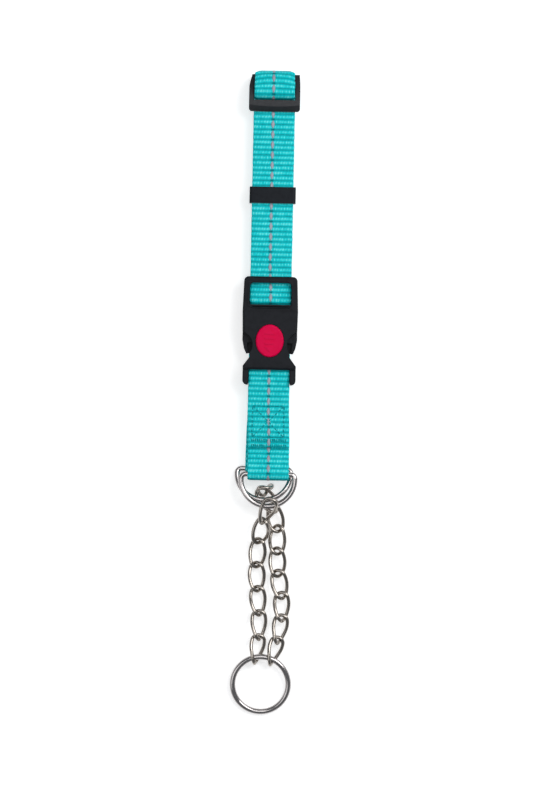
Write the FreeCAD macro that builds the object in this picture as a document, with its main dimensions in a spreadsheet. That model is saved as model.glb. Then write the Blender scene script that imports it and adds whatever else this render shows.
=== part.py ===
# Martingale collar laid flat and folded in half, in millimetres.
# X runs across the strap, Y along it towards the fold, Z up from the surface it lies on.
# The origin is on that surface, under the middle of the collar.
import FreeCAD
import Part
import Sketcher
import math
import os

SIZES = [
    ("strap_width", 20.0, "webbing width"),
    ("strap_thick", 1.6, "webbing thickness"),
    ("layer_gap", 0.2, "between two layers of webbing that lie on each other"),
    ("side_gap", 0.3, "webbing edge to the rail beside it"),
    ("bar_gap", 0.15, "webbing to the bar that it turns round"),
    ("slip_gap", 0.3, "webbing face to a bar or band that it passes"),
    ("bar_radius", 1.2, "bars that the webbing turns round"),
    ("sewn_gap", 0.05, "between two layers of webbing that are sewn together"),
    ("thread_width", 0.7, "stitching thread"),
    ("thread_rise", 0.3, "stitching thread above the webbing"),
    ("front_height", 7.8, "middle of the doubled front strap above the surface"),
    ("fold_place", 160.0, "outside of the fold, along Y"),
    ("fold_cover", 2.4, "outside of the fold past the slider's upper end"),
    ("slider_arch", 28.0, "inner radius of the slider's arch"),
    ("slider_crest", 9.0, "slider's centre bar to the top of its arch, along Y"),
    ("slider_sink", 1.1, "slider's centre bar above the inner face of its arch"),
    ("slider_thick", 3.0, "slider thickness across the arch"),
    ("slider_rail", 2.2, "slider side rail width"),
    ("slider_room", 0.35, "webbing round the centre bar to the slider's lower bar"),
    ("slider_bevel", 2.3, "bevel on the slider's lower end, along Y"),
    ("slider_smile", 87.0, "radius of the bevel's upper edge, seen from above"),
    ("slider_above", 8.0, "slider's centre bar to its upper end"),
    ("slider_lower_bar", 5.5, "slider's lower bar, along Y"),
    ("slider_upper_bar", 3.4, "slider's upper bar, along Y"),
    ("keeper_place", 98.2, "middle of the keeper along Y"),
    ("keeper_length", 8.0, "keeper along Y"),
    ("keeper_wall", 1.05, "keeper wall"),
    ("buckle_place", 41.0, "seam between the buckle's two halves, along Y"),
    ("buckle_height", 11.6, "buckle thickness"),
    ("buckle_rail", 3.3, "buckle rail width beside the strap, at the seam"),
    ("buckle_taper", 0.6, "each side of the buckle narrows by this away from the seam"),
    ("frame_length", 17.2, "prong frame along Y"),
    ("frame_height", 9.0, "prong frame thickness"),
    ("frame_floor", 4.23, "prong frame's underside below the middle of the strap"),
    ("frame_corner", 2.2, "prong frame's upper corners"),
    ("frame_top_bar", 3.0, "prong frame's top bar, along Y"),
    ("frame_base", 2.2, "prong frame's base block, along Y"),
    ("frame_bar", 6.0, "seam to the prong frame's strap bar"),
    ("rim_width", 0.7, "raised rim round the prong frame's window"),
    ("rim_rise", 0.25, "raised rim above the prong frame"),
    ("socket_length", 28.5, "socket along Y, without its legs"),
    ("socket_bar", 25.2, "seam to the socket's strap bar"),
    ("leg_length", 7.4, "socket legs past the socket's end"),
    ("leg_height", 8.6, "socket leg thickness"),
    ("leg_corner", 2.2, "socket leg's lower corner"),
    ("mouth_depth", 9.8, "seam to the shoulders that the prongs catch on"),
    ("waist_place", 6.5, "catch shoulders to the middle of the side windows"),
    ("waist_out", 1.1, "middle of a side window beyond the buckle's side"),
    ("waist_radius", 6.4, "side window"),
    ("flare_start", 22.3, "seam to the place where the socket's shoulders flare out"),
    ("flare_end", 26.8, "seam to the place where they reach the full width"),
    ("flare_in", 3.8, "depth of the flare from the buckle's side"),
    ("prong_height", 4.4, "prong thickness"),
    ("prong_gap", 0.3, "prong to the socket round it"),
    ("prong_reach", 13.4, "middle of the buckle to the tip of a prong's ear"),
    ("prong_hinge", 8.6, "middle of the buckle to a prong's root"),
    ("prong_root", 1.5, "radius of a prong's root"),
    ("button_place", 4.5, "catch shoulders to the middle of the lock button"),
    ("button_width", 13.7, "lock button across"),
    ("button_length", 16.0, "lock button along Y"),
    ("button_proud", 0.4, "lock button above the socket"),
    ("button_gap", 0.15, "lock button to its well"),
    ("button_stroke", 2.0, "travel of the lock button"),
    ("spring_radius", 2.7, "button spring"),
    ("spring_wire", 0.5, "button spring wire"),
    ("dee_wire", 2.7, "D-ring wire"),
    ("dee_room", 3.2, "webbing edge to the middle of a D-ring's side"),
    ("dee_corner", 2.2, "D-ring corner radius at the bar"),
    ("dee_side", 0.3, "D-ring's straight side"),
    ("front_dee_place", -38.6, "front D-ring's bar along Y"),
    ("dee_play", 0.1, "front D-ring above the back one's webbing"),
    ("front_dee_shift", 0.5, "front D-ring's shift across"),
    ("front_dee_tilt", -1.0, "front D-ring's tilt about its bar, degrees"),
    ("back_dee_place", -36.1, "back D-ring's bar along Y"),
    ("back_dee_shift", -1.5, "back D-ring's shift across"),
    ("back_dee_tilt", -14.0, "back D-ring's tilt about its bar, degrees"),
    ("link_wire", 1.8, "chain wire"),
    ("link_length", 14.1, "chain link, between wire centres at its ends"),
    ("link_width", 7.3, "chain link, between wire centres at its middle"),
    ("link_twist", 45.0, "twist from a link's middle to its end, degrees"),
    ("link_tip", 0.37, "reach of a link's end arc, as a share of its half length"),
    ("left_gap", 0.4, "slack at each joint of the left strand"),
    ("right_gap", 1.2, "slack at each joint of the right strand"),
    ("leash_gap", 0.6, "slack between the last links and the leash ring"),
    ("leash_wire", 2.8, "leash ring wire"),
    ("leash_radius", 13.7, "leash ring, to the middle of its wire"),
]

Vector = FreeCAD.Vector
doc = FreeCAD.newDocument("martingale_collar")
sheet = doc.addObject("Spreadsheet::Sheet", "sizes")
for row, (alias, number, meaning) in enumerate(SIZES, start=1):
    sheet.set("A%d" % row, str(number))
    sheet.setAlias("A%d" % row, alias)
    sheet.set("B%d" % row, meaning)
doc.recompute()


def size(alias):
    """A size from the sheet, for the shapes that are worked out in code."""
    return float(sheet.get(alias))


def bind(owner, **expressions):
    """Bind properties to the sheet; a double underscore stands for a dot."""
    for name, expression in expressions.items():
        owner.setExpression(name.replace("__", "."), expression)


# ---------------------------------------------------------------- bodies and sketches


def new_body(label, y="0", z="0", x="0"):
    """An empty body at a place given by expressions."""
    body = doc.addObject("PartDesign::Body", label)
    body.Label = label
    bind(body, Placement__Base__x=x, Placement__Base__y=y, Placement__Base__z=z)
    return body


def new_sketch(body, name, role, height="0"):
    """A sketch on one of the body's own origin planes, raised by an expression."""
    sketch = body.newObject("Sketcher::SketchObject", name)
    plane = [feature for feature in body.Origin.OriginFeatures if feature.Role == role][0]
    sketch.AttachmentSupport = (plane, [""])
    sketch.MapMode = "FlatFace"
    sketch.setExpression("AttachmentOffset.Base.z", height)
    return sketch


def place_point(sketch, geometry, point, x, y):
    """Hold a point of the sketch at two expressions measured from its origin."""
    for kind, expression in (("DistanceX", x), ("DistanceY", y)):
        number = sketch.evalExpression(expression)
        index = sketch.addConstraint(
            Sketcher.Constraint(kind, -1, 1, geometry, point, float(number)))
        sketch.setExpression("Constraints[%d]" % index, expression)


def outline(sketch, corners):
    """A closed outline of straight lines through corners given as expressions."""
    points = [Vector(*[float(sketch.evalExpression(value)) for value in corner], 0)
              for corner in corners]
    first = len(sketch.Geometry)
    count = len(corners)
    for start, end in zip(points, points[1:] + points[:1]):
        sketch.addGeometry(Part.LineSegment(start, end), False)
    for step in range(count):
        following = first + (step + 1) % count
        sketch.addConstraint(Sketcher.Constraint("Coincident", first + step, 2, following, 1))
    for step, (x, y) in enumerate(corners):
        place_point(sketch, first + step, 1, x, y)


def rectangle(sketch, half_x, y_low, y_high):
    """A rectangle that is symmetric about the sketch's vertical axis."""
    outline(sketch, [("-(%s)" % half_x, y_low), (half_x, y_low), (half_x, y_high),
                     ("-(%s)" % half_x, y_high)])


def circle(sketch, x, y, radius):
    """A circle whose centre and radius are expressions."""
    numbers = [float(sketch.evalExpression(value)) for value in (x, y, radius)]
    centre = Vector(numbers[0], numbers[1], 0)
    index = sketch.addGeometry(Part.Circle(centre, Vector(0, 0, 1), numbers[2]), False)
    place_point(sketch, index, 3, x, y)
    held = sketch.addConstraint(Sketcher.Constraint("Radius", index, numbers[2]))
    sketch.setExpression("Constraints[%d]" % held, radius)


def ellipse(sketch, x, y, across, along):
    """An upright ellipse: centre, half width and a longer half length, as expressions."""
    numbers = [float(sketch.evalExpression(value)) for value in (x, y, across, along)]
    centre = Vector(numbers[0], numbers[1], 0)
    tip = Vector(numbers[0], numbers[1] + numbers[3], 0)
    side = Vector(numbers[0] - numbers[2], numbers[1], 0)
    index = sketch.addGeometry(Part.Ellipse(tip, side, centre), False)
    sketch.exposeInternalGeometry(index)
    place_point(sketch, index, 3, x, y)
    axes = [line for line in range(index + 1, len(sketch.Geometry))
            if sketch.Geometry[line].TypeId == "Part::GeomLineSegment"]
    sketch.addConstraint(Sketcher.Constraint("Vertical", axes[0]))
    for line, half in zip(axes, (along, across)):
        value = 2 * float(sketch.evalExpression(half))
        held = sketch.addConstraint(Sketcher.Constraint("Distance", line, value))
        sketch.setExpression("Constraints[%d]" % held, "2 * (%s)" % half)


def extrude(body, kind, sketch, name, length, symmetric=False, reverse=False):
    """A pad or pocket of a sketch."""
    feature = body.newObject("PartDesign::" + kind, name)
    feature.Profile = sketch
    feature.setExpression("Length", length)
    feature.SideType = "Symmetric" if symmetric else "One side"
    feature.Reversed = reverse
    return feature


def round_edges(body, name, radius, chosen):
    """Round the edges of the body's tip that the test picks."""
    doc.recompute()
    base = body.Tip
    names = ["Edge%d" % (number + 1) for number, edge in enumerate(base.Shape.Edges)
             if chosen(edge)]
    fillet = body.newObject("PartDesign::Fillet", name)
    fillet.Base = (base, names)
    fillet.setExpression("Radius", radius)


def runs_along(edge, axis):
    """True for a straight edge along an axis."""
    if edge.Curve.TypeId != "Part::GeomLine":
        return False
    return abs(getattr(edge.Curve.Direction, axis)) > 0.999


# ---------------------------------------------------------------- webbing


def rounded_path(corners):
    """A path in the YZ plane through (y, z, radius) corners, each rounded by its radius."""
    points = [Vector(0, y, z) for y, z, radius in corners]
    edges = []
    last = points[0]
    for number in range(1, len(corners) - 1):
        corner = points[number]
        inward = (points[number - 1] - corner).normalize()
        outward = (points[number + 1] - corner).normalize()
        half_turn = (math.pi - inward.getAngle(outward)) / 2
        radius = corners[number][2]
        reach = radius * math.tan(half_turn)
        start = corner + inward * reach
        end = corner + outward * reach
        towards = (inward + outward).normalize()
        middle = corner + towards * (radius / math.cos(half_turn) - radius)
        if (start - last).Length > 1e-6:
            edges.append(Part.makeLine(last, start))
        edges.append(Part.Arc(start, middle, end).toShape())
        last = end
    edges.append(Part.makeLine(last, points[-1]))
    return Part.Wire(edges)


def ribbon(label, path):
    """Webbing swept along a path in the YZ plane."""
    half = size("strap_width") / 2
    rise = size("strap_thick") / 2
    first = path.OrderedEdges[0]
    start = first.valueAt(first.FirstParameter)
    along = first.tangentAt(first.FirstParameter)
    across = Vector(1, 0, 0)
    up = across.cross(along).normalize()
    corners = [start + across * (half * i) + up * (rise * j)
               for i, j in ((-1, -1), (1, -1), (1, 1), (-1, 1), (-1, -1))]
    strap = doc.addObject("Part::Feature", label)
    strap.Label = label
    strap.Shape = path.makePipeShell([Part.makePolygon(corners)], True, False)
    expected = path.Length * size("strap_width") * size("strap_thick")
    print("%s: length %.1f, volume over section times length %.4f"
          % (label, path.Length, strap.Shape.Volume / expected))


def layer_heights():
    """Heights of the middle of the lower and upper layers of the front strap."""
    offset = (size("strap_thick") + size("layer_gap")) / 2
    return size("front_height") - offset, size("front_height") + offset


def wrap_radius(bar_radius):
    """Radius of the middle of the webbing where it turns round a bar."""
    return bar_radius + size("bar_gap") + size("strap_thick") / 2


def strap_route():
    """Sewn round the slider's centre bar, down the front, round the prong frame's bar, up
    the front again, over the slider's centre and upper bars, round the fold, along the
    back, round the back D-ring's bar and sewn down."""
    low, high = layer_heights()
    middle = size("front_height")
    slider_bar = tri_glide.Placement.Base.y
    slider_height = tri_glide.Placement.Base.z
    inner = wrap_radius(size("bar_radius"))
    outer = inner + size("strap_thick") + size("layer_gap")
    flap = low - size("strap_thick") - size("layer_gap")
    frame_bar = size("buckle_place") + size("frame_bar")
    fold = size("fold_place") - size("strap_thick") / 2
    back = size("strap_thick") / 2
    ring = size("back_dee_place")
    turn = wrap_radius(size("dee_wire") / 2)
    sewn = back + size("strap_thick") + size("sewn_gap")
    tight = size("strap_thick") / 2 + 0.1
    return [
        (slider_bar - 19.0, flap, 0),
        (slider_bar + inner, flap, 1.4),
        (slider_bar + inner, slider_height + inner, inner),
        (slider_bar - inner, slider_height + inner, inner),
        (slider_bar - inner, low, tight + 0.1),
        (frame_bar + 16.0, low, 12.0),
        (frame_bar + 1.0, middle - inner, 8.0),
        (frame_bar - inner, middle - inner, inner),
        (frame_bar - inner, middle + inner, inner),
        (frame_bar + 1.0, middle + inner, 8.0),
        (frame_bar + 9.0, high, 12.0),
        (slider_bar - outer, high, tight),
        (slider_bar - outer, slider_height + outer, outer),
        (fold, slider_height + outer, 6.0),
        (fold, back, 4.0),
        (ring - turn, back, turn),
        (ring - turn, back + 2 * turn, turn),
        (ring + 1.0, back + 2 * turn, 5.0),
        (ring + 10.0, sewn, 5.0),
        (ring + 24.0, sewn, 0),
    ]


def tab_heights():
    """Heights of the middles of the tab strap's three sewn layers, top layer first."""
    lap = size("strap_thick") + size("sewn_gap")
    top = size("front_height") + lap + 0.1
    return top, top - lap, top - 2 * lap


def front_dee_height():
    """The front D-ring's bar stands clear of the webbing sewn round the back D-ring."""
    return 3 * size("strap_thick") + 3 * size("bar_gap") + 1.5 * size("dee_wire") + size("dee_play")


def tab_route():
    """Round the socket's bar and the front D-ring's bar, with its ends lapped and sewn."""
    top, core, under = tab_heights()
    middle = size("front_height")
    bar = size("buckle_place") - size("socket_bar")
    inner = wrap_radius(size("bar_radius"))
    turn = wrap_radius(size("dee_wire") / 2)
    ring = size("front_dee_place")
    height = front_dee_height()
    return [
        (ring + 13.2, top, 0),
        (bar - 8.0, top, 10.0),
        (bar - 1.0, middle + inner, 6.0),
        (bar + inner, middle + inner, inner),
        (bar + inner, middle - inner, inner),
        (bar - 1.0, middle - inner, 6.0),
        (bar - 8.0, under, 10.0),
        (ring + 10.0, under, 8.0),
        (ring + 5.0, height - turn, 6.0),
        (ring - turn, height - turn, turn),
        (ring - turn, height + turn, turn),
        (ring + 1.0, height + turn, 6.0),
        (ring + 12.0, core, 8.0),
        (bar - 12.0, core, 0),
    ]


# ---------------------------------------------------------------- stitching


def stitches(label, lines, height):
    """Thread lying on a strap: straight runs of (x, y) to (x, y), as one solid."""
    width = size("thread_width")
    corner = Vector(-width / 2, -width / 2, 0)
    runs = []
    for (x0, y0), (x1, y1) in lines:
        length = math.hypot(x1 - x0, y1 - y0)
        run = Part.makeBox(length + width, width, size("thread_rise"), corner)
        turn = math.degrees(math.atan2(y1 - y0, x1 - x0))
        run.Placement = FreeCAD.Placement(
            Vector(x0, y0, height), FreeCAD.Rotation(Vector(0, 0, 1), turn))
        runs.append(run)
    thread = doc.addObject("Part::Feature", label)
    thread.Label = label
    thread.Shape = runs[0].multiFuse(runs[1:]) if len(runs) > 1 else runs[0]


def make_tab_stitching():
    """A box and cross over the lap, with a row between it and the D-ring."""
    half = size("strap_width") / 2 - 2.3
    near = size("front_dee_place") + 14.3
    low = size("front_dee_place") + 18.2
    high = low + 15.2
    corners = [(-half, low), (half, low), (half, high), (-half, high)]
    lines = list(zip(corners, corners[1:] + corners[:1]))
    lines += [(corners[0], corners[2]), (corners[1], corners[3])]
    top = tab_heights()[0] + size("strap_thick") / 2
    stitches("tab_stitching", lines, top)
    stitches("tab_row_stitching", [((-half - 1, near), (half + 1, near))], top)


def make_hidden_stitching():
    """Boxes of stitching that close the strap round the back D-ring and the slider's bar."""
    half = size("strap_width") / 2 - 1.5
    low = layer_heights()[0]
    under = low - size("strap_thick") * 1.5 - size("layer_gap") - size("thread_rise")
    boxes = [
        ("ring_stitching", size("back_dee_place") + 12.0, 10.0,
         2 * size("strap_thick") + size("sewn_gap")),
        ("slider_stitching", tri_glide.Placement.Base.y - 17.0, 8.0, under),
    ]
    for label, place, length, height in boxes:
        corners = [(-half, place), (half, place), (half, place + length), (-half, place + length)]
        stitches(label, list(zip(corners, corners[1:] + corners[:1])), height)


# ---------------------------------------------------------------- slider and keeper


def make_tri_glide():
    """An arched plate with one window, crossed by a round centre bar."""
    upper_face = ("sizes.front_height + sizes.strap_thick + sizes.layer_gap / 2"
                  " + sizes.slip_gap")
    crest_drop = "sqrt(sizes.slider_arch ^ 2 - sizes.slider_crest ^ 2)"
    wrap = ("(sizes.bar_radius + sizes.bar_gap + 2 * sizes.strap_thick + sizes.layer_gap"
            " + sizes.slider_room)")
    below = "(%s + sizes.slider_lower_bar)" % wrap
    edge = "(sizes.slider_crest - %s)" % wrap
    edge_drop = "sqrt(sizes.slider_arch ^ 2 - %s ^ 2)" % edge
    body = new_body("tri_glide", y="sizes.fold_place - sizes.fold_cover - sizes.slider_above",
                    z="%s + sizes.slider_sink + %s - %s" % (upper_face, crest_drop, edge_drop))
    profile = new_sketch(body, "arch", "YZ_Plane")
    centre = (-size("slider_crest"),
              -size("slider_sink") - math.sqrt(size("slider_arch") ** 2
                                               - size("slider_crest") ** 2))
    low = -float(profile.evalExpression(below))
    high = size("slider_above")
    radii = (size("slider_arch"), size("slider_arch") + size("slider_thick"))
    corners = []
    for radius in radii:
        ends = [math.atan2(math.sqrt(radius ** 2 - (y - centre[0]) ** 2), y - centre[0])
                for y in (high, low)]
        ring = Part.Circle(Vector(centre[0], centre[1], 0), Vector(0, 0, 1), radius)
        profile.addGeometry(Part.ArcOfCircle(ring, ends[0], ends[1]), False)
        corners.append([Vector(centre[0] + radius * math.cos(end),
                               centre[1] + radius * math.sin(end), 0) for end in ends])
    profile.addGeometry(Part.LineSegment(corners[0][0], corners[1][0]), False)
    profile.addGeometry(Part.LineSegment(corners[0][1], corners[1][1]), False)
    for first, second in (((0, 1), (2, 1)), ((1, 1), (2, 2)), ((0, 2), (3, 1)), ((1, 2), (3, 2)),
                          ((0, 3), (1, 3))):
        profile.addConstraint(Sketcher.Constraint("Coincident", *first, *second))
    for line in (2, 3):
        profile.addConstraint(Sketcher.Constraint("Vertical", line))
    place_point(profile, 0, 3, "-sizes.slider_crest", "-sizes.slider_sink - %s" % crest_drop)
    for arc, expression in ((0, "sizes.slider_arch"),
                            (1, "sizes.slider_arch + sizes.slider_thick")):
        held = profile.addConstraint(Sketcher.Constraint("Radius", arc, radii[arc]))
        profile.setExpression("Constraints[%d]" % held, expression)
    for line, expression in ((2, "sizes.slider_above"), (3, "-" + below)):
        value = float(profile.evalExpression(expression))
        held = profile.addConstraint(Sketcher.Constraint("DistanceX", -1, 1, line, 1, value))
        profile.setExpression("Constraints[%d]" % held, expression)
    inside = "sizes.strap_width / 2 + sizes.side_gap"
    width = "sizes.strap_width + 2 * sizes.side_gap + 2 * sizes.slider_rail"
    extrude(body, "Pad", profile, "plate", width, symmetric=True)
    window = new_sketch(body, "window_outline", "XY_Plane")
    rectangle(window, inside, "-" + wrap, "sizes.slider_above - sizes.slider_upper_bar")
    extrude(body, "Pocket", window, "window", "40", symmetric=True)
    round_edges(body, "soft_rims", "0.7", lambda edge: runs_along(edge, "x")
                and edge.Length > size("strap_width") + 2)
    bevel_slider(body, below, "sizes.slider_arch + sizes.slider_thick - sizes.slider_sink - %s"
                 % crest_drop)
    bar = new_sketch(body, "bar_section", "YZ_Plane")
    circle(bar, "0", "0", "sizes.bar_radius")
    extrude(body, "Pad", bar, "centre_bar", "%s - sizes.slider_rail" % width, symmetric=True)
    return body


def bevel_slider(body, below, top):
    """A steep bevel on the slider's lower end, whose upper edge is a shallow arc."""
    sketch = new_sketch(body, "bevel_outline", "XY_Plane", top)
    radius = size("slider_smile")
    far = 18.0
    arc_low = float(sketch.evalExpression("sizes.slider_bevel - %s" % below))
    centre = Vector(0, arc_low + radius, 0)
    turn = math.asin(far / radius)
    ring = Part.Circle(centre, Vector(0, 0, 1), radius)
    sketch.addGeometry(Part.ArcOfCircle(ring, 1.5 * math.pi - turn, 1.5 * math.pi + turn), False)
    level = centre.y - radius * math.cos(turn)
    corners = [Vector(far, level, 0), Vector(far, arc_low - far, 0),
               Vector(-far, arc_low - far, 0), Vector(-far, level, 0)]
    for start, end in zip(corners, corners[1:]):
        sketch.addGeometry(Part.LineSegment(start, end), False)
    for first, second in (((0, 2), (1, 1)), ((1, 2), (2, 1)), ((2, 2), (3, 1)), ((3, 2), (0, 1))):
        sketch.addConstraint(Sketcher.Constraint("Coincident", *first, *second))
    for line in (1, 3):
        sketch.addConstraint(Sketcher.Constraint("Vertical", line))
    place_point(sketch, 0, 3, "0", "sizes.slider_bevel - %s + sizes.slider_smile" % below)
    held = sketch.addConstraint(Sketcher.Constraint("Radius", 0, radius))
    sketch.setExpression("Constraints[%d]" % held, "sizes.slider_smile")
    bevel = extrude(body, "Pocket", sketch, "bevel", "sizes.slider_bevel")
    bevel.TaperAngle = -45


def make_keeper():
    """A band round both layers of the front strap."""
    body = new_body("strap_keeper", y="sizes.keeper_place", z="sizes.front_height")
    inside = "sizes.strap_width / 2 + sizes.side_gap"
    height = "sizes.layer_gap / 2 + sizes.strap_thick + sizes.slip_gap"
    section = new_sketch(body, "band_section", "XZ_Plane")
    rectangle(section, inside, "-(%s)" % height, height)
    rectangle(section, "%s + sizes.keeper_wall" % inside, "-(%s) - sizes.keeper_wall" % height,
              "%s + sizes.keeper_wall" % height)
    extrude(body, "Pad", section, "band", "sizes.keeper_length", symmetric=True)
    outside = size("strap_width") / 2 + size("side_gap") + size("keeper_wall") / 2
    round_edges(body, "outer_corners", "sizes.keeper_wall + 0.2",
                lambda edge: runs_along(edge, "y") and abs(edge.BoundBox.XMin) > outside)
    return body


# ---------------------------------------------------------------- buckle


def make_prong_frame():
    """The half that the adjustable strap turns through: rails, a top bar over the strap,
    a round bar inside it and a base block that carries the prongs."""
    body = new_body("buckle_prong_frame", y="sizes.buckle_place", z="sizes.front_height")
    half = "sizes.strap_width / 2 + sizes.side_gap + sizes.buckle_rail"
    inside = "sizes.strap_width / 2 + sizes.side_gap"
    floor = "-sizes.frame_floor"
    plan = new_sketch(body, "plan", "XY_Plane", floor)
    outline(plan, [("-(%s)" % half, "0"), (half, "0"),
                   ("%s - sizes.buckle_taper" % half, "sizes.frame_length"),
                   ("-(%s) + sizes.buckle_taper" % half, "sizes.frame_length")])
    extrude(body, "Pad", plan, "block", "sizes.frame_height")
    round_edges(body, "top_corners", "sizes.frame_corner", lambda edge: runs_along(edge, "z")
                and edge.BoundBox.YMin > size("frame_length") - 0.1)
    round_edges(body, "soft_top", "0.9", lambda edge: edge.BoundBox.ZMin
                > 0.5 * size("frame_height") and edge.BoundBox.YMax > 0.1)
    window = new_sketch(body, "window_outline", "XY_Plane", floor)
    rectangle(window, inside, "sizes.frame_base", "sizes.frame_length - sizes.frame_top_bar")
    extrude(body, "Pocket", window, "window", "3 * sizes.frame_height", symmetric=True)
    round_edges(body, "window_corners", "1.2", lambda edge: runs_along(edge, "z")
                and abs(edge.BoundBox.YMin - size("frame_base")) < 0.01)
    rim = new_sketch(body, "rim_outline", "XY_Plane", "sizes.frame_height - sizes.frame_floor")
    high = "sizes.frame_length - sizes.frame_top_bar"
    rectangle(rim, inside, "sizes.frame_base + 1.2", high)
    rectangle(rim, "%s + sizes.rim_width" % inside, "sizes.frame_base + 1.2 - sizes.rim_width",
              "%s + sizes.rim_width" % high)
    extrude(body, "Pad", rim, "rim", "sizes.rim_rise")
    passage = new_sketch(body, "strap_passage_outline", "XY_Plane", floor)
    rectangle(passage, inside, "sizes.frame_base", "sizes.frame_length + 1")
    extrude(body, "Pocket", passage, "strap_passage",
            "sizes.frame_floor + sizes.layer_gap / 2 + sizes.strap_thick"
            " + sizes.slip_gap", reverse=True)
    roots = new_sketch(body, "root_outline", "XY_Plane", "-sizes.prong_height / 2"
                       " - sizes.prong_gap")
    for side in ("-", ""):
        circle(roots, "%ssizes.prong_hinge" % side, "0", "sizes.prong_root + 0.1")
    extrude(body, "Pocket", roots, "root_seats", "sizes.prong_height + 2 * sizes.prong_gap",
            reverse=True)
    bar = new_sketch(body, "bar_section", "YZ_Plane")
    circle(bar, "sizes.frame_bar", "0", "sizes.bar_radius")
    extrude(body, "Pad", bar, "strap_bar", "sizes.strap_width + 2 * sizes.side_gap + 2",
            symmetric=True)
    return body


def make_prong(label, side):
    """A springy arm with a round root and an ear that catches behind the socket's mouth."""
    sign = "" if side > 0 else "-"
    body = new_body(label, x="%ssizes.prong_hinge" % sign, y="sizes.buckle_place",
                    z="sizes.front_height")
    floor = "-sizes.prong_height / 2"
    root = new_sketch(body, "root_outline", "XY_Plane", floor)
    circle(root, "0", "0", "sizes.prong_root")
    extrude(body, "Pad", root, "root", "sizes.prong_height")
    reach = "sizes.prong_reach - sizes.prong_hinge"
    catch = "-sizes.mouth_depth - sizes.prong_gap"
    tip = "-sizes.mouth_depth - 10.4"
    slot = "%s - 5.3" % catch
    corners = [("-1.3", "0"), ("-1.4", "%s - 3" % catch), ("-2.2", "%s - 6" % catch),
               ("-2.2", tip), ("0", tip), ("0", slot), ("%s - 2.4" % reach, slot),
               ("%s - 2.9" % reach, "%s - 0.3" % tip), ("%s - 2" % reach, "%s - 0.5" % tip),
               ("%s - 0.8" % reach, "%s - 8" % catch), (reach, "%s - 4" % catch),
               (reach, catch), ("1.3", catch), ("1.3", "0")]
    arm = new_sketch(body, "arm_outline", "XY_Plane", floor)
    outline(arm, [("%s(%s)" % (sign, x), y) for x, y in corners])
    extrude(body, "Pad", arm, "arm", "sizes.prong_height")
    far = size("prong_reach") - size("prong_hinge") - 1.5
    round_edges(body, "ear_corners", "2", lambda edge: runs_along(edge, "z")
                and side * edge.BoundBox.XMin > far
                and edge.BoundBox.YMax < -size("mouth_depth") - 2)
    return body


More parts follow.
